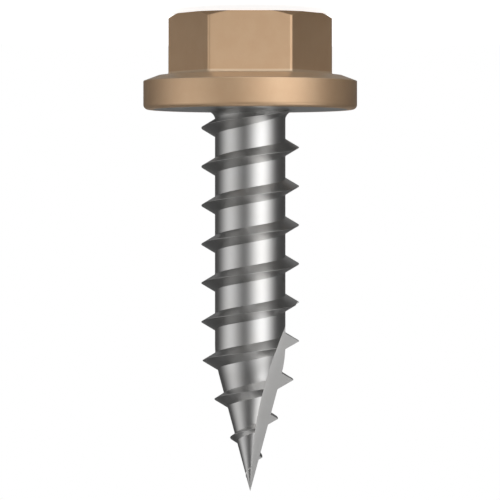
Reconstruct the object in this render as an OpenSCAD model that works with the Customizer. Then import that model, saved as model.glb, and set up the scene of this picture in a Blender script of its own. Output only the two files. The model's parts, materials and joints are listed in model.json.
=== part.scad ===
// Flanged hex head screw with a coarse thread and a gashed point.
// It stands on the top of its head: z = 0 is that top, +Z runs along the shank to the tip.

/* [Shank and thread] */
// Length from the bearing face of the flange to the tip of the point
length = 25; // [20:0.5:60]
// Diameter over the thread
thread_d = 6.4; // [5.8:0.1:7]
// Diameter of the core between the turns of the thread
core_d = 4.62; // [4:0.02:5]
// Distance along the axis from one turn to the next
pitch = 2.54; // [2.2:0.01:3]
// Angle between the two flanks of the thread
flank_angle = 60; // [50:1:70]
// Width of the narrow flat along the thread's crest
crest_flat = 0.05; // [0.03:0.01:0.2]
// Distance from the bearing face to the thread's crest, where the crest first crosses +X
first_crest = 1.205; // [0.9:0.005:1.6]
// Turns over which the thread fades out towards the flange
fade_turns = 0.53; // [0.3:0.01:0.6]
// Height of the fillet between the shank and the bearing face
root_fillet_h = 0.65; // [0.3:0.05:1]

/* [Point] */
// Full angle of the core's point
point_angle = 30; // [26:1:36]
// Full angle of the cone that the thread's crest follows at the point
crest_cone_angle = 44.3; // [40:0.1:52]
// Distance from the tip back to the apex of that cone
crest_cone_gap = 0.28; // [0.1:0.02:0.5]
// Radius that blends the straight shank into the point, for the core and the crest
point_blend_r = 8; // [4:0.5:12]
// Radius of the cutter that gashes one quarter of the point
gash_r = 26.5; // [20:0.5:40]

/* [Hex] */
// Width across the flats of the hex
hex_af = 9.35; // [8.8:0.01:10]
// Height of the hex above the flange
hex_h = 4.03; // [3:0.01:6]
// Radius along the six upright edges of the hex
hex_edge_r = 0.25; // [0.1:0.05:0.5]
// Diameter of the circle where the chamfer meets the top of the hex
chamfer_d = 9.7; // [9.4:0.05:10.2]
// Slope of that chamfer
chamfer_angle = 30; // [20:1:40]
// Size of the fillet between the hex and the flange
hex_fillet = 0.22; // [0.1:0.02:0.3]

/* [Flange] */
// Diameter of the flange
flange_d = 14; // [13:0.1:18]
// Thickness of the flange at its rim
rim_h = 1.87; // [1.5:0.01:3]
// Slope of the bevel around the top of the flange
bevel_angle = 20.4; // [10:0.1:30]
// Width of that bevel, measured along the radius
bevel_w = 0.97; // [0.5:0.01:1.1]
// Radius between the rim and the bearing face
rim_fillet_r = 0.31; // [0.1:0.01:0.6]

/* [Hidden] */
$fn = 96;
thread_r = thread_d / 2;
core_r = core_d / 2;
flange_r = flange_d / 2;
flange_h = rim_h + bevel_w * tan(bevel_angle);
bearing_z = hex_h + flange_h;
tip_z = bearing_z + length;
point_half = point_angle / 2;
crest_half = crest_cone_angle / 2;
flank_run = tan(flank_angle / 2);
crest_apex_z = tip_z - crest_cone_gap;
// The fillet under the flange starts just outside the thread, so the bearing face clears it
seat_clearance = 0.03;
root_fillet_w = thread_r - core_r + seat_clearance;
// The hex and the shank reach this far into the flange
flange_sink = rim_h / 2;
// The foot of the hex and the thread reach a little below the surfaces that they stand on
foot_sink = 0.1;
thread_sink = 0.15;
thread_sink_share = 0.4;
arc_steps = 8;
edge_steps = 4;
// The thread is swept in steps that miss the gash's flat, and starts inside the flange
steps_per_turn = 36;
step_angle = 360 / steps_per_turn;
full_from_angle = -75;
start_angle = full_from_angle - 360 * fade_turns;
thread_end_z = (crest_apex_z * tan(crest_half) - tip_z * tan(point_half))
    / (tan(crest_half) - tan(point_half));
thread_steps = ceil((thread_end_z - bearing_z - first_crest) / pitch * steps_per_turn
    - start_angle / step_angle);

// Radius at height z of a cylinder that blends into a cone with its apex at apex_z
function blended_r(z, r, apex_z, half) =
    let (reach = point_blend_r * tan(half / 2),
         corner_z = apex_z - r / tan(half),
         from_z = corner_z - reach,
         to_z = corner_z + reach * cos(half))
    z <= from_z ? r
    : z >= to_z ? (apex_z - z) * tan(half)
    : r - point_blend_r + sqrt(pow(point_blend_r, 2) - pow(z - from_z, 2));

function core_at(z) = blended_r(z, core_r, tip_z, point_half);

function crest_at(z) = blended_r(z, thread_r, crest_apex_z, crest_half);

function crest_z(angle) = bearing_z + first_crest + pitch * angle / 360;

// Share of the full thread height, which fades towards the flange
function fade(angle) =
    min(1, max(0, 1 - (full_from_angle - angle) / (360 * fade_turns)));

function ridge_r(angle) =
    let (z = crest_z(angle))
    core_at(z) + fade(angle) * (crest_at(z) - core_at(z));

function flank_z(angle, side, r) =
    crest_z(angle) + side * (crest_flat / 2 + (ridge_r(angle) - r) * flank_run);

function sunk_r(z) = core_at(z) - min(thread_sink, thread_sink_share * core_at(z));

// Where a flank ends, a little below the surface of the core
function flank_foot(angle, side) =
    let (r = sunk_r(flank_z(angle, side, core_at(crest_z(angle)))))
    [r, flank_z(angle, side, r)];

function ridge_section(angle) =
    [flank_foot(angle, -1),
     [ridge_r(angle), crest_z(angle) - crest_flat / 2],
     [ridge_r(angle), crest_z(angle) + crest_flat / 2],
     flank_foot(angle, 1)];

function on_turn(point, angle) = [point[0] * cos(angle), point[0] * sin(angle), point[1]];

// The root fillet is a quarter of an ellipse, from the bearing face to the core
function root_fillet_points() =
    [for (i = [0 : arc_steps])
        let (a = 90 * i / arc_steps)
        [core_r + root_fillet_w * (1 - sin(a)), bearing_z + root_fillet_h * (1 - cos(a))]];

function point_blend_points() =
    let (reach = point_blend_r * tan(point_half / 2),
         corner_z = tip_z - core_r / tan(point_half),
         from_z = corner_z - reach,
         to_z = corner_z + reach * cos(point_half))
    [for (i = [0 : arc_steps])
        let (z = from_z + (to_z - from_z) * i / arc_steps)
        [core_at(z), z]];

function rim_fillet_points() =
    [for (i = [0 : arc_steps])
        let (a = 90 * i / arc_steps)
        [flange_r - rim_fillet_r * (1 - cos(a)), bearing_z - rim_fillet_r * (1 - sin(a))]];

function hexagon_points(across_flats, edge_r) =
    let (centre_r = (across_flats / 2 - edge_r) / cos(30))
    [for (corner = [0 : 5], i = [0 : edge_steps])
        let (a = 60 * corner - 30 + 60 * i / edge_steps)
        [centre_r * cos(60 * corner) + edge_r * cos(a),
         centre_r * sin(60 * corner) + edge_r * sin(a)]];

module hex_prism() {
    top_r = chamfer_d / 2;
    outer_r = hex_af;
    base_z = hex_h + flange_sink;
    intersection() {
        linear_extrude(base_z) polygon(hexagon_points(hex_af, hex_edge_r));
        rotate_extrude()
            polygon([[0, 0], [top_r, 0], [outer_r, (outer_r - top_r) * tan(chamfer_angle)],
                     [outer_r, base_z], [0, base_z]]);
    }
}

// A slope around the foot of the hex, in place of a sharp inner corner
module hex_foot() {
    low_af = hex_af - 2 * foot_sink;
    high_af = hex_af + 2 * (hex_fillet + foot_sink);
    translate([0, 0, hex_h - hex_fillet - foot_sink])
        linear_extrude(height = hex_fillet + 2 * foot_sink, scale = high_af / low_af)
            polygon(hexagon_points(low_af, hex_edge_r));
}

module flange() {
    rotate_extrude()
        polygon(concat([[0, hex_h], [flange_r - bevel_w, hex_h], [flange_r, bearing_z - rim_h]],
                       rim_fillet_points(), [[0, bearing_z]]));
}

module core() {
    sunk_z = bearing_z - flange_sink;
    rotate_extrude()
        polygon(concat([[0, sunk_z], [core_r + root_fillet_w, sunk_z]],
                       root_fillet_points(), point_blend_points(), [[0, tip_z]]));
}

module thread_ridge() {
    sections = [for (i = [0 : thread_steps])
        let (angle = start_angle + i * step_angle)
        [for (point = ridge_section(angle)) on_turn(point, angle)]];
    corners = len(sections[0]);
    last = thread_steps * corners;
    sides = [for (i = [0 : thread_steps - 1], j = [0 : corners - 1])
        let (a = i * corners + j, b = i * corners + (j + 1) % corners)
        each [[a, b, b + corners], [a, b + corners, a + corners]]];
    caps = [[3, 2, 1, 0], [last, last + 1, last + 2, last + 3]];
    polyhedron([for (section = sections) each section], concat(sides, caps));
}

// The cutter's axis lies along Y, level with the tip, so it leaves a flat and a curved wall
module gash_cutter() {
    translate([-gash_r, 0, tip_z]) rotate([90, 0, 0]) cylinder(r = gash_r, h = flange_r, $fn = 360);
}

module head() {
    color("tan") {
        hex_prism();
        hex_foot();
        flange();
    }
}

module shank() {
    color("silver")
        difference() {
            union() {
                core();
                thread_ridge();
            }
            gash_cutter();
        }
}

module flanged_hex_screw() {
    head();
    shank();
}

flanged_hex_screw();
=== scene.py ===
"""The look of the flanged hex head screw: its smooth mesh, its two finishes, the studio and the camera."""

import json
import math

import bmesh
import bpy
import numpy as np
from mathutils import Matrix, Vector


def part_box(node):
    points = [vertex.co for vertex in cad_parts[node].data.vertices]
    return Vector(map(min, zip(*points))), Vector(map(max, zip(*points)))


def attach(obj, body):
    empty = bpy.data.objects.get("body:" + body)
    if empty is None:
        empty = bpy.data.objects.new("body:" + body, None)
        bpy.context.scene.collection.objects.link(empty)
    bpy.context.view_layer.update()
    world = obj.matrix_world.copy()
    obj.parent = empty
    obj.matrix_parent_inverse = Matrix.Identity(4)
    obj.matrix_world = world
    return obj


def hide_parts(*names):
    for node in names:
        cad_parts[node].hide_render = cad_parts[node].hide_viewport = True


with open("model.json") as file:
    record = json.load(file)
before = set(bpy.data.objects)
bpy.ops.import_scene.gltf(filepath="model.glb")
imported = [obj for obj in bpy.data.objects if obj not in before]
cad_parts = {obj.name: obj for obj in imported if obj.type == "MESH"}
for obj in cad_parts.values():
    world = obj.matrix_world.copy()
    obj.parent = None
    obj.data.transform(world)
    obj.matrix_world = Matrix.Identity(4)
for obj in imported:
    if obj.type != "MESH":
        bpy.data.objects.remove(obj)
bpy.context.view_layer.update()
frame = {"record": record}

# Shapes are worked out in millimetres, and the finished mesh is scaled to metres
MM = 0.001
NODE = "flanged_hex_screw"
mounts = {mount["name"]: mount for mount in frame["record"]["mounts"]}
high_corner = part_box(NODE)[1]

# From the frame: the tip, the flange's rim, the bearing face and the thread's crest
tip_z = high_corner.z / MM
flange_r = high_corner.x / MM
bearing_z = mounts["bearing_face"]["pos_m"][2] / MM
thread_r = mounts["thread"]["dims"]["r_mm"]

# Shank and thread
core_r = 2.31
pitch = 2.54
flank_run = math.tan(math.radians(30))
crest_flat = 0.01
first_crest = 1.205
fade_turns = 0.53
full_from_angle = -75
root_fillet_h = 0.65
seat_clearance = 0.03
thread_sink = 0.15
thread_sink_share = 0.4

# Point
point_half = math.radians(15)
crest_half = math.radians(22.15)
crest_cone_gap = 0.28
point_blend_r = 8
gash_r = 26.5

# Head
hex_af = 9.35
hex_h = 4.03
hex_edge_r = 0.25
hex_fillet = 0.22
chamfer_r = 4.85
chamfer_slope = math.tan(math.radians(30))
bevel_w = 0.97
rim_h = 1.87
rim_edge_r = 0.07
rim_fillet_r = 0.31
# The paint runs round the rim and ends on the bearing face, at this radius
PAINT_INNER_R = 6.35

# How finely curves are divided
ARC_STEPS = 12
CORNER_FLAT_STEPS = 12
MIDDLE_FLAT_STEPS = 24
SIDE_STEPS = ARC_STEPS + 2 * CORNER_FLAT_STEPS + MIDDLE_FLAT_STEPS
RING = 6 * SIDE_STEPS
FILLET_STEPS = 14
TURN_STEPS = 180
CUTTER_SEGMENTS = 720
SHARP_ANGLE = math.radians(16)
RIM_EDGE_STEPS = 8
# Rings on the cone of the point, by their distance from the tip
CONE_RINGS = (6, 4, 2.5, 1.5, 0.8, 0.4, 0.2, 0.1, 0.05)
# Points closer together than this are one
MERGE_DISTANCE = 1e-5


def linked(name, data):
    """A new object in the scene."""
    item = bpy.data.objects.new(name, data)
    bpy.context.scene.collection.objects.link(item)
    return item


def blended_r(z, r, apex_z, half):
    """Radius at height z of a cylinder that blends into a cone with its apex at apex_z."""
    reach = point_blend_r * math.tan(half / 2)
    corner_z = apex_z - r / math.tan(half)
    from_z = corner_z - reach
    if z <= from_z:
        return r
    if z >= corner_z + reach * math.cos(half):
        return (apex_z - z) * math.tan(half)
    return r - point_blend_r + math.sqrt(point_blend_r**2 - (z - from_z) ** 2)


def core_at(z):
    return blended_r(z, core_r, tip_z, point_half)


def crest_at(z):
    return blended_r(z, thread_r, tip_z - crest_cone_gap, crest_half)


def steps(start, end, count):
    return list(np.linspace(start, end, count + 1))


def hexagon(across_flats, edge_r):
    """The outline of the hex, with round corners and its points closer together near them."""
    centre_r = (across_flats / 2 - edge_r) / math.cos(math.radians(30))
    half_flat = centre_r / 2
    chamfer_start = math.sqrt(chamfer_r**2 - (hex_af / 2) ** 2)
    along = (
        steps(-half_flat, -chamfer_start, CORNER_FLAT_STEPS)[1:]
        + steps(-chamfer_start, chamfer_start, MIDDLE_FLAT_STEPS)[1:]
        + steps(chamfer_start, half_flat, CORNER_FLAT_STEPS)[1:-1]
    )
    points = []
    for corner in range(6):
        turn = math.radians(60 * corner)
        centre = np.array([math.cos(turn), math.sin(turn)]) * centre_r
        for a in steps(turn - math.radians(30), turn + math.radians(30), ARC_STEPS):
            points.append(centre + edge_r * np.array([math.cos(a), math.sin(a)]))
        face = turn + math.radians(30)
        outward = np.array([math.cos(face), math.sin(face)])
        sideways = np.array([-outward[1], outward[0]])
        points += [outward * across_flats / 2 + sideways * t for t in along]
    return np.array(points)


def hexagon_ring(z, grow=0.0):
    outline = hexagon(hex_af + 2 * grow, hex_edge_r + grow)
    return np.column_stack([outline, np.broadcast_to(z, RING)])


def circle_ring(r, z):
    angles = np.radians((np.arange(RING) - ARC_STEPS / 2) * 360 / RING)
    return np.column_stack([r * np.cos(angles), r * np.sin(angles), np.full(RING, z)])


def chamfer_rings():
    """The top of the hex and the curved lower edges of its chamfer."""
    outline = hexagon(hex_af, hex_edge_r)
    reach = np.linalg.norm(outline, axis=1)
    inside = np.minimum(1, chamfer_r / reach)
    top = np.column_stack([outline * inside[:, None], np.zeros(RING)])
    drop = np.maximum(0, reach - chamfer_r) * chamfer_slope
    return [top, np.column_stack([outline, drop])]


def quarter(start, corner, end, count):
    """A quarter of an ellipse from start to end that is tangent to both lines to corner."""
    start, corner, end = (np.array(p, float) for p in (start, corner, end))
    centre = start + end - corner
    return [
        tuple(centre + (start - centre) * math.cos(a) + (end - centre) * math.sin(a))
        for a in steps(0, math.pi / 2, count)
    ]


def rounded_corner(before, corner, after, radius, count):
    """An arc of that radius in place of a corner of the profile."""
    corner = np.array(corner, float)
    back = np.array(before, float) - corner
    ahead = np.array(after, float) - corner
    back /= np.linalg.norm(back)
    ahead /= np.linalg.norm(ahead)
    half = math.acos(float(back @ ahead)) / 2
    middle = (back + ahead) / np.linalg.norm(back + ahead)
    centre = corner + middle * radius / math.sin(half)
    start = corner + back * radius / math.tan(half) - centre
    end = corner + ahead * radius / math.tan(half) - centre
    spread = math.acos(float(start @ end) / radius**2)
    return [
        tuple(centre + (start * math.sin(spread - a) + end * math.sin(a)) / math.sin(spread))
        for a in steps(0, spread, count)
    ]


def body_profile():
    """(radius, height) from the flat of the flange, round the rim and along the core to the tip."""
    flat_edge = (flange_r - bevel_w, hex_h)
    rim_top = (flange_r, bearing_z - rim_h)
    rim_low = (flange_r, bearing_z - rim_fillet_r)
    fillet_r = thread_r + seat_clearance
    root_top = bearing_z + root_fillet_h
    reach = point_blend_r * math.tan(point_half / 2)
    corner_z = tip_z - core_r / math.tan(point_half)
    blend_end = corner_z + reach * math.cos(point_half)
    cone_heights = [tip_z - distance for distance in CONE_RINGS]
    profile = [flat_edge]
    profile += rounded_corner(flat_edge, rim_top, rim_low, rim_edge_r, RIM_EDGE_STEPS)
    profile += quarter(rim_low, (flange_r, bearing_z), (flange_r - rim_fillet_r, bearing_z), FILLET_STEPS)
    profile += [(PAINT_INNER_R, bearing_z)]
    profile += quarter((fillet_r, bearing_z), (core_r, bearing_z), (core_r, root_top), FILLET_STEPS)
    heights = steps(corner_z - reach, blend_end, FILLET_STEPS) + cone_heights
    return profile + [(core_at(z), z) for z in heights]


def loft(rings, first, last):
    """A closed mesh through rings of equal length, with a point at each end."""
    count = len(rings[0])
    points = np.vstack([[first], *rings, [last]])
    faces = []
    for i in range(count):
        j = (i + 1) % count
        faces.append((0, 1 + j, 1 + i))
        for k in range(len(rings) - 1):
            a, b = 1 + k * count, 1 + (k + 1) * count
            faces.append((a + i, a + j, b + j, b + i))
        end = 1 + (len(rings) - 1) * count
        faces.append((end + i, end + j, len(points) - 1))
    return points, faces


def make_mesh(name, points, faces):
    mesh = bpy.data.meshes.new(name)
    mesh.from_pydata([tuple(p) for p in points], [], faces)
    work = bmesh.new()
    work.from_mesh(mesh)
    bmesh.ops.remove_doubles(work, verts=work.verts, dist=MERGE_DISTANCE)
    bmesh.ops.recalc_face_normals(work, faces=work.faces)
    work.to_mesh(mesh)
    work.free()
    return linked(name, mesh)


def make_body():
    """The hex, the flange and the bare core as one lofted solid."""
    fillet = [
        hexagon_ring(hex_h - hex_fillet * (1 - math.sin(a)), hex_fillet * (1 - math.cos(a)))
        for a in steps(0, math.pi / 2, FILLET_STEPS)
    ]
    profile_rings = [circle_ring(r, z) for r, z in body_profile()]
    rings = chamfer_rings() + fillet + profile_rings
    return make_mesh("body", *loft(rings, (0, 0, 0), (0, 0, tip_z)))


def ridge_section(angle):
    """The four corners of the thread's ridge at one angle, as (radius, height)."""
    z = bearing_z + first_crest + pitch * angle / 360
    fade = min(1, max(0, 1 - (full_from_angle - angle) / (360 * fade_turns)))
    surface = core_at(z)
    crest = surface + fade * (crest_at(z) - surface)
    corners = [(crest, z - crest_flat / 2), (crest, z + crest_flat / 2)]
    for side in (-1, 1):
        foot_z = z + side * (crest_flat / 2 + (crest - surface) * flank_run)
        foot_core = core_at(foot_z)
        foot_r = foot_core - min(thread_sink, thread_sink_share * foot_core)
        foot = (foot_r, z + side * (crest_flat / 2 + (crest - foot_r) * flank_run))
        corners.insert(0 if side < 0 else len(corners), foot)
    return corners


def make_ridge():
    """The thread as a helical ridge that starts in the flange and ends in the point."""
    crest_apex_z = tip_z - crest_cone_gap
    run_core, run_crest = math.tan(point_half), math.tan(crest_half)
    end_z = (crest_apex_z * run_crest - tip_z * run_core) / (run_crest - run_core)
    start_angle = full_from_angle - 360 * fade_turns
    end_angle = (end_z - bearing_z - first_crest) * 360 / pitch
    count = math.ceil((end_angle - start_angle) * TURN_STEPS / 360)
    points, faces = [], []
    for step in range(count + 1):
        angle = start_angle + step * 360 / TURN_STEPS
        turn = math.radians(angle)
        for r, z in ridge_section(angle):
            points.append((r * math.cos(turn), r * math.sin(turn), z))
    for step in range(count):
        for i in range(4):
            a, b = step * 4 + i, step * 4 + (i + 1) % 4
            faces += [(a, b, b + 4), (a, b + 4, a + 4)]
    end = count * 4
    faces += [(3, 2, 1, 0), (end, end + 1, end + 2, end + 3)]
    return make_mesh("ridge", points, faces)


def make_cutter():
    """The round cutter of the gash. Its axis is along Y, and it ends at the screw's own axis."""
    depth = 2 * thread_r
    mesh = bpy.data.meshes.new("cutter")
    work = bmesh.new()
    place = Matrix.Translation((-gash_r, -depth / 2, tip_z)) @ Matrix.Rotation(math.pi / 2, 4, "X")
    bmesh.ops.create_cone(
        work,
        cap_ends=True,
        segments=CUTTER_SEGMENTS,
        radius1=gash_r,
        radius2=gash_r,
        depth=depth,
        matrix=place,
    )
    work.to_mesh(mesh)
    work.free()
    return linked("cutter", mesh)


def combine(base, tool, operation):
    """Applies an exact boolean to base and deletes the tool."""
    modifier = base.modifiers.new(operation, "BOOLEAN")
    modifier.object = tool
    modifier.operation = operation
    modifier.solver = "EXACT"
    graph = bpy.context.evaluated_depsgraph_get()
    result = bpy.data.meshes.new_from_object(base.evaluated_get(graph))
    base.modifiers.clear()
    base.data = result
    bpy.data.objects.remove(tool)


def make_screw():
    """The whole screw as one smooth mesh in metres, with sharp creases kept sharp."""
    screw = make_body()
    combine(screw, make_ridge(), "UNION")
    combine(screw, make_cutter(), "DIFFERENCE")
    screw.name = screw.data.name = "screw"
    mesh = screw.data
    work = bmesh.new()
    work.from_mesh(mesh)
    bmesh.ops.remove_doubles(work, verts=work.verts, dist=MERGE_DISTANCE)
    open_edges = sum(not e.is_manifold for e in work.edges)
    work.to_mesh(mesh)
    work.free()
    mesh.transform(Matrix.Scale(MM, 4))
    mesh.shade_smooth()
    mesh.set_sharp_from_angle(angle=SHARP_ANGLE)
    mesh.update()
    print("screw faces", len(mesh.polygons), "open edges", open_edges)
    return screw


# Materials. Textures are in the object's own metres, so their scales are features per metre.
# Relief is in metres, from the lowest to the highest point
NOISE_LOW = 0.3
NOISE_HIGH = 0.7
ZINC = (0.6, 0.597, 0.592, 1)
ZINC_WARM = (0.586, 0.58, 0.569, 1)
ZINC_CLOUD_SCALE = 600
ZINC_GRAIN_SCALE = 6000
ZINC_GRAIN_DETAIL = 3
ZINC_GRAIN_STRETCH = (1, 1, 2.5)
# Metal with some roughness below about 0.274 comes out of the denoiser with dark specks
ZINC_ROUGHNESS = (0.28, 0.33)
ZINC_RELIEF = 0.0000012
BEIGE = (0.56, 0.376, 0.226, 1)
BEIGE_DEEP = (0.543, 0.356, 0.21, 1)
# A paler beige for the bevel and the foot of the hex: a painted highlight, not a colour of the paint
BEIGE_PAINTED_HIGHLIGHT = (0.65, 0.489, 0.332, 1)
# How far the edges of the painted highlight fade, in metres
PAINTED_HIGHLIGHT_FADE = 0.00006
PAINT_METALLIC = 0.65
PAINT_CLOUD_SCALE = 900
PAINT_CLOUD_DETAIL = 4
PAINT_GLOSS_SCALE = 14000
PAINT_ROUGHNESS = (0.36, 0.44)
PAINT_COAT = 0.5
PAINT_COAT_ROUGHNESS = 0.35
PEEL_SCALE = 3500
PEEL_DETAIL = 1
PEEL_RELIEF = 0.000003
# A face this far below the bearing face, in millimetres, is no longer part of it
FACE_MARGIN = 0.001


def principled(name, metallic):
    material = bpy.data.materials.new(name)
    material.use_nodes = True
    tree = material.node_tree
    shader = tree.nodes["Principled BSDF"]
    shader.inputs["Metallic"].default_value = metallic
    return material, tree, shader


def noise(tree, scale, detail=2, stretch=(1, 1, 1)):
    """Noise, mostly between NOISE_LOW and NOISE_HIGH. A stretch above 1 shortens it along that axis."""
    nodes, links = tree.nodes, tree.links
    place = nodes.new("ShaderNodeTexCoord")
    mapping = nodes.new("ShaderNodeMapping")
    mapping.inputs["Scale"].default_value = stretch
    texture = nodes.new("ShaderNodeTexNoise")
    texture.inputs["Scale"].default_value = scale
    texture.inputs["Detail"].default_value = detail
    links.new(place.outputs["Object"], mapping.inputs["Vector"])
    links.new(mapping.outputs["Vector"], texture.inputs["Vector"])
    return texture.outputs["Fac"]


def spread(tree, value, low, high, from_low=NOISE_LOW, from_high=NOISE_HIGH):
    """Maps a value to the range from low to high, smoothly."""
    node = tree.nodes.new("ShaderNodeMapRange")
    node.interpolation_type = "SMOOTHSTEP"
    node.inputs["From Min"].default_value = from_low
    node.inputs["From Max"].default_value = from_high
    node.inputs["To Min"].default_value = low
    node.inputs["To Max"].default_value = high
    tree.links.new(value, node.inputs["Value"])
    return node.outputs["Result"]


def blend(tree, share, first, second):
    """Mixes from first, which is a colour or a socket, to the colour second."""
    node = tree.nodes.new("ShaderNodeMix")
    node.data_type = "RGBA"
    if isinstance(first, tuple):
        node.inputs["A"].default_value = first
    else:
        tree.links.new(first, node.inputs["A"])
    node.inputs["B"].default_value = second
    tree.links.new(share, node.inputs["Factor"])
    return node.outputs["Result"]


def bump(tree, shader, pattern, relief):
    node = tree.nodes.new("ShaderNodeBump")
    node.inputs["Distance"].default_value = relief
    tree.links.new(pattern, node.inputs["Height"])
    tree.links.new(node.outputs["Normal"], shader.inputs["Normal"])


def zinc():
    """Bright zinc plate with a faint cloudiness and a fine grain."""
    material, tree, shader = principled("zinc", 1)
    cloud = blend(tree, spread(tree, noise(tree, ZINC_CLOUD_SCALE), 0, 1), ZINC, ZINC_WARM)
    tree.links.new(cloud, shader.inputs["Base Color"])
    grain = noise(tree, ZINC_GRAIN_SCALE, ZINC_GRAIN_DETAIL, ZINC_GRAIN_STRETCH)
    tree.links.new(spread(tree, grain, *ZINC_ROUGHNESS), shader.inputs["Roughness"])
    bump(tree, shader, grain, ZINC_RELIEF)
    return material


def painted_highlight_share(tree):
    """1 around the foot of the hex and on the bevel, where the beige is made paler as a painted highlight,
    and 0 elsewhere.
    """
    place = tree.nodes.new("ShaderNodeTexCoord")
    parts = tree.nodes.new("ShaderNodeSeparateXYZ")
    tree.links.new(place.outputs["Object"], parts.inputs[0])
    both = tree.nodes.new("ShaderNodeMath")
    both.operation = "MULTIPLY"
    z = parts.outputs["Z"]
    low, high = (hex_h - hex_fillet) * MM, (bearing_z - rim_h) * MM
    tree.links.new(spread(tree, z, 0, 1, low - PAINTED_HIGHLIGHT_FADE, low), both.inputs[0])
    tree.links.new(spread(tree, z, 1, 0, high, high + PAINTED_HIGHLIGHT_FADE), both.inputs[1])
    return both.outputs[0]


def paint():
    """Satin beige lacquer with a metallic sheen, a thin clear coat and a slight orange peel."""
    material, tree, shader = principled("head_paint", PAINT_METALLIC)
    cloud_share = spread(tree, noise(tree, PAINT_CLOUD_SCALE, PAINT_CLOUD_DETAIL), 0, 1)
    cloud = blend(tree, cloud_share, BEIGE, BEIGE_DEEP)
    # The bevel and the foot of the hex are painted paler: a painted highlight
    colour = blend(tree, painted_highlight_share(tree), cloud, BEIGE_PAINTED_HIGHLIGHT)
    tree.links.new(colour, shader.inputs["Base Color"])
    gloss = spread(tree, noise(tree, PAINT_GLOSS_SCALE), *PAINT_ROUGHNESS)
    tree.links.new(gloss, shader.inputs["Roughness"])
    shader.inputs["Coat Weight"].default_value = PAINT_COAT
    shader.inputs["Coat Roughness"].default_value = PAINT_COAT_ROUGHNESS
    bump(tree, shader, noise(tree, PEEL_SCALE, PEEL_DETAIL), PEEL_RELIEF)
    return material


def dress(screw):
    """Paint on the head, out to the edge of the bearing face, and zinc on the rest."""
    screw.data.materials.clear()
    screw.data.materials.append(zinc())
    screw.data.materials.append(paint())
    paint_end_z = (bearing_z - FACE_MARGIN) * MM
    paint_end_r = PAINT_INNER_R * MM
    for face in screw.data.polygons:
        painted = face.center.z < paint_end_z or face.center.xy.length > paint_end_r
        face.material_index = int(painted)


# Studio. Lengths are in metres, angles in degrees, and a level of 1 is white
WHITE = (1, 1, 1, 1)
BACKGROUND_LEVEL = 1
WORLD_LEVEL = 0.15
FLOOR_R = 0.045
FLOOR_COLOUR = (0.8, 0.8, 0.8, 1)
FLOOR_GLOW = 0.8
ROUND_SEGMENTS = 96
PANEL_STEPS = 24
TENT_R = 0.6
TENT_LEVEL = 0.07
SKYLIGHT_R = 0.2
BASE_HOLE_R = 0.001
LAMP_ANGLE = 50
# The studio is set up around this height on the screw
MIDDLE_Z = 0.015


def around(azimuth, elevation, distance):
    """A place around the screw. Azimuth is from the camera's side towards the picture's right."""
    a, e = math.radians(azimuth), math.radians(elevation)
    return Vector(
        (
            -distance * math.sin(a) * math.cos(e),
            -distance * math.cos(a) * math.cos(e),
            distance * math.sin(e) + MIDDLE_Z,
        )
    )


def facing(azimuth, elevation):
    """The turn that points +Z from the middle of the screw to that side."""
    towards = around(azimuth, elevation, 1) - around(0, 0, 0)
    return towards.to_track_quat("Z", "Y").to_matrix().to_4x4()


def background_rays(nodes, links):
    """1 for rays that see the background itself: from the camera, or by way of metal or glass."""
    path = nodes.new("ShaderNodeLightPath")
    total = path.outputs["Is Camera Ray"]
    for kind in ("Is Glossy Ray", "Is Transmission Ray"):
        both = nodes.new("ShaderNodeMath")
        both.operation = "MAXIMUM"
        links.new(total, both.inputs[0])
        links.new(path.outputs[kind], both.inputs[1])
        total = both.outputs[0]
    return total


def make_world():
    """White for the rays that see the background, and a weaker level for diffuse light."""
    world = bpy.data.worlds.new("studio")
    world.use_nodes = True
    bpy.context.scene.world = world
    nodes, links = world.node_tree.nodes, world.node_tree.links
    shader = nodes["Background"]
    level = nodes.new("ShaderNodeMapRange")
    level.inputs["To Min"].default_value = WORLD_LEVEL
    level.inputs["To Max"].default_value = BACKGROUND_LEVEL
    links.new(background_rays(nodes, links), level.inputs["Value"])
    shader.inputs["Color"].default_value = WHITE
    links.new(level.outputs["Result"], shader.inputs["Strength"])


def staged(name, points, faces, material):
    item = linked(name, bpy.data.meshes.new(name))
    item.data.from_pydata(points, [], faces)
    item.data.materials.append(material)
    return item


def glow(name, level):
    """An even glow. Returns its material and the emission node."""
    material = bpy.data.materials.new(name)
    material.use_nodes = True
    material.cycles.emission_sampling = "NONE"
    nodes, links = material.node_tree.nodes, material.node_tree.links
    nodes.clear()
    emission = nodes.new("ShaderNodeEmission")
    output = nodes.new("ShaderNodeOutputMaterial")
    emission.inputs["Strength"].default_value = level
    links.new(emission.outputs["Emission"], output.inputs["Surface"])
    return material, emission


def only_reflected(item):
    item.visible_camera = False
    item.visible_shadow = False
    item.visible_diffuse = False


def panel_mesh(w, h, distance):
    """A grid on a sphere about the screw, from -w to w across and from -h to h up, in radians."""
    across, up = steps(-w, w, PANEL_STEPS), steps(-h, h, PANEL_STEPS)
    points = [
        (
            distance * math.sin(a) * math.cos(e),
            distance * math.sin(e),
            distance * math.cos(a) * math.cos(e),
        )
        for e in up
        for a in across
    ]
    row = PANEL_STEPS + 1
    faces = [
        (k * row + i, k * row + i + 1, (k + 1) * row + i + 1, (k + 1) * row + i)
        for k in range(PANEL_STEPS)
        for i in range(PANEL_STEPS)
    ]
    return points, faces


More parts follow.
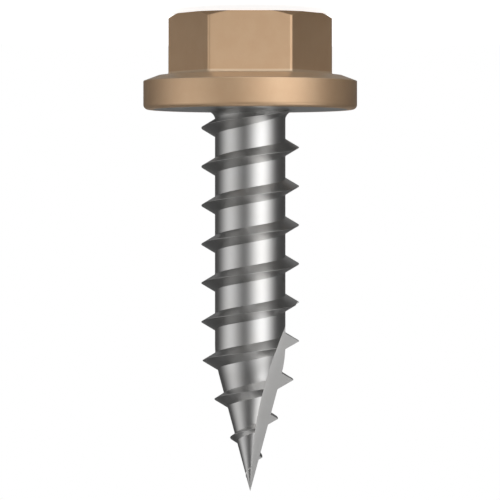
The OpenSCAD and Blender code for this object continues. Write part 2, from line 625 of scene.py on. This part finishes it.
def fade_and_add(material, emission, level, reach_x, reach_y):
    """Fades the glow to nothing at its edge, and adds it to the light from behind it."""
    nodes, links = material.node_tree.nodes, material.node_tree.links
    place = nodes.new("ShaderNodeTexCoord")
    shares = nodes.new("ShaderNodeVectorMath")
    shares.operation = "MULTIPLY"
    shares.inputs[1].default_value = (1 / reach_x, 1 / reach_y, 0)
    reach = nodes.new("ShaderNodeVectorMath")
    reach.operation = "LENGTH"
    fall = nodes.new("ShaderNodeMapRange")
    fall.interpolation_type = "SMOOTHSTEP"
    fall.inputs["To Min"].default_value = level
    fall.inputs["To Max"].default_value = 0
    clear = nodes.new("ShaderNodeBsdfTransparent")
    both = nodes.new("ShaderNodeAddShader")
    links.new(place.outputs["Object"], shares.inputs[0])
    links.new(shares.outputs["Vector"], reach.inputs[0])
    links.new(reach.outputs["Value"], fall.inputs["Value"])
    links.new(fall.outputs["Result"], emission.inputs["Strength"])
    links.new(clear.outputs["BSDF"], both.inputs[0])
    links.new(emission.outputs["Emission"], both.inputs[1])
    links.new(both.outputs["Shader"], nodes["Material Output"].inputs["Surface"])


def softbox(name, azimuth, elevation, half_width, half_height, level, distance):
    """A panel curved round the screw, which only reflections see."""
    w, h = math.radians(half_width), math.radians(half_height)
    material, emission = glow(name, level)
    fade_and_add(material, emission, level, distance * math.sin(w), distance * math.sin(h))
    item = staged(name, *panel_mesh(w, h, distance), material)
    item.matrix_world = Matrix.Translation(around(0, 0, 0)) @ facing(azimuth, elevation)
    only_reflected(item)


def tent_part(name, profile):
    """A dark surface of revolution about Z, which only reflections see."""
    points, faces = [], []
    for i in range(ROUND_SEGMENTS):
        a = 2 * math.pi * i / ROUND_SEGMENTS
        points += [(r * math.cos(a), r * math.sin(a), z) for r, z in profile]
    rows = len(profile)
    for i in range(ROUND_SEGMENTS):
        for k in range(rows - 1):
            a, b = i * rows + k, (i + 1) % ROUND_SEGMENTS * rows + k
            faces.append((a, b, b + 1, a + 1))
    item = staged(name, points, faces, glow(name, TENT_LEVEL)[0])
    only_reflected(item)


def lamp(name, azimuth, elevation, level):
    """A soft lamp for the diffuse light. Reflections see the softboxes instead."""
    light = bpy.data.lights.new(name, "SUN")
    light.energy = math.pi * level
    light.angle = math.radians(LAMP_ANGLE)
    item = linked(name, light)
    item.matrix_world = facing(azimuth, elevation)
    item.visible_glossy = False


def make_floor():
    """A round white table that shows the screw's shadow. Reflections don't see it.

    It casts no shadow itself, because the front lamp shines from the head's side, below it.
    """
    material = bpy.data.materials.new("floor")
    material.use_nodes = True
    nodes, links = material.node_tree.nodes, material.node_tree.links
    nodes.clear()
    diffuse = nodes.new("ShaderNodeBsdfDiffuse")
    diffuse.inputs["Color"].default_value = FLOOR_COLOUR
    white = nodes.new("ShaderNodeEmission")
    share = nodes.new("ShaderNodeMath")
    share.operation = "MULTIPLY"
    share.inputs[1].default_value = FLOOR_GLOW
    add = nodes.new("ShaderNodeAddShader")
    output = nodes.new("ShaderNodeOutputMaterial")
    links.new(background_rays(nodes, links), share.inputs[0])
    links.new(share.outputs[0], white.inputs["Strength"])
    links.new(diffuse.outputs["BSDF"], add.inputs[0])
    links.new(white.outputs["Emission"], add.inputs[1])
    links.new(add.outputs["Shader"], output.inputs["Surface"])
    turns = [2 * math.pi * i / ROUND_SEGMENTS for i in range(ROUND_SEGMENTS)]
    points = [(FLOOR_R * math.cos(a), FLOOR_R * math.sin(a), 0) for a in turns]
    item = staged("floor", points, [tuple(range(ROUND_SEGMENTS))], material)
    item.visible_glossy = False
    item.visible_shadow = False


def make_studio():
    """The floor, the lamps, and around them what the metal mirrors.

    The tent stands between the metal and the white world, and gives the metal its dark bands.
    Only the opening in its roof lets the metal see the white background.
    """
    make_world()
    # Name, azimuth, elevation and level
    lamp("front_lamp", -4, -14, 0.96)
    lamp("back_lamp", 180, 40, 1)
    make_floor()
    # Name, azimuth, elevation, half width, half height, level and distance
    softbox("key_softbox", 37, -12, 65, 62, 2.25, 0.5)
    softbox("side_softbox", -69, 10, 67, 74, 1.05, 0.48)
    softbox("top_softbox", 60, 46, 40, 30, 2.57, 0.45)
    softbox("back_softbox", 180, 0, 35, 60, 0.105, 0.42)
    softbox("low_softbox", -12, -44, 24, 20, 1.91, 0.4)
    softbox("back_low_softbox", 180, -26, 45, 16, 0.18, 0.35)
    tent_part("tent_wall", [(TENT_R, -TENT_R), (TENT_R, TENT_R)])
    tent_part("tent_top", [(TENT_R, TENT_R), (SKYLIGHT_R, TENT_R)])
    tent_part("tent_base", [(TENT_R, -TENT_R), (BASE_HOLE_R, -TENT_R)])


# Camera: level with the middle of the screw and turned upside down, so that the head is on top.
# Lengths are in millimetres, and the pixels are those of the photo
IMAGE_SIDE = 500
MM_PER_PIXEL = 0.0655
AXIS_PIXEL = 250.2
BEARING_PIXEL = 109.6
CAMERA_DISTANCE = 283
SENSOR = 36


def make_camera():
    view_h = IMAGE_SIDE * MM_PER_PIXEL
    centre_z = bearing_z + (IMAGE_SIDE / 2 - BEARING_PIXEL) * MM_PER_PIXEL
    centre_x = (AXIS_PIXEL - IMAGE_SIDE / 2) * MM_PER_PIXEL
    camera = bpy.data.cameras.new("camera")
    camera.sensor_width = SENSOR
    camera.lens = SENSOR * CAMERA_DISTANCE / view_h
    item = linked("camera", camera)
    upside_down = Matrix.Rotation(math.pi / 2, 4, "X") @ Matrix.Rotation(math.pi, 4, "Z")
    place = Vector((centre_x, -CAMERA_DISTANCE, centre_z)) * MM
    item.matrix_world = Matrix.Translation(place) @ upside_down
    bpy.context.scene.camera = item


make_camera()
screw = make_screw()
dress(screw)
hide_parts(NODE)
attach(screw, "root")
make_studio()
bpy.context.scene.view_settings.view_transform = "Standard"
